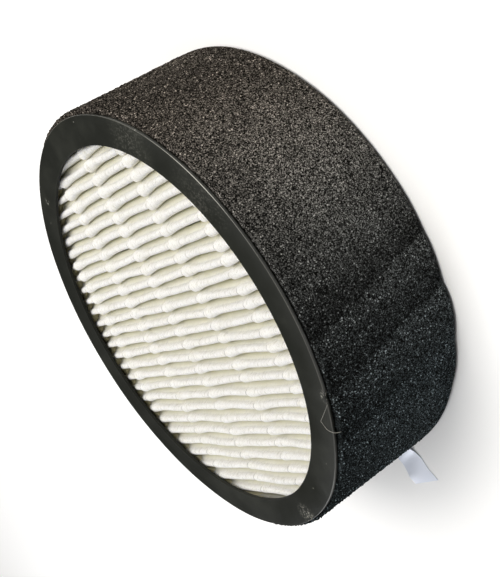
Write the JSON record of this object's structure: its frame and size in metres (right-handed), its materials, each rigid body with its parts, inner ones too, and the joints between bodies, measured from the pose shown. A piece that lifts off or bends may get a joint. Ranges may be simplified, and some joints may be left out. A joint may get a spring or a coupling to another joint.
{
  "type": "fine air filter",
  "caption": "Round pleated fine air filter: black ring frame, white embossed pleats across the opening, dark foam sleeve round the rim and a film strip to pull it out.",
  "frame": {"origin": "on the filter's axis, in the plane of the rear face that it lies on", "axes": "+Z along the axis from the rear face to the front sealing ring; the pleats run along Y; the film strip points roughly to -X"},
  "size_m": [0.168, 0.1532, 0.05],
  "materials": {
    "frame_plastic": "satin black injection-moulded plastic",
    "filter_media": "white embossed fibre paper",
    "foam": "dark open-cell foam",
    "film": "milky translucent film"
  },
  "bodies": {
    "root": {"frame": "frame_plastic", "rear_ring": "frame_plastic", "pleated_media": "filter_media", "foam_sleeve": "foam", "pull_tab": "film"}
  },
  "joints": []
}
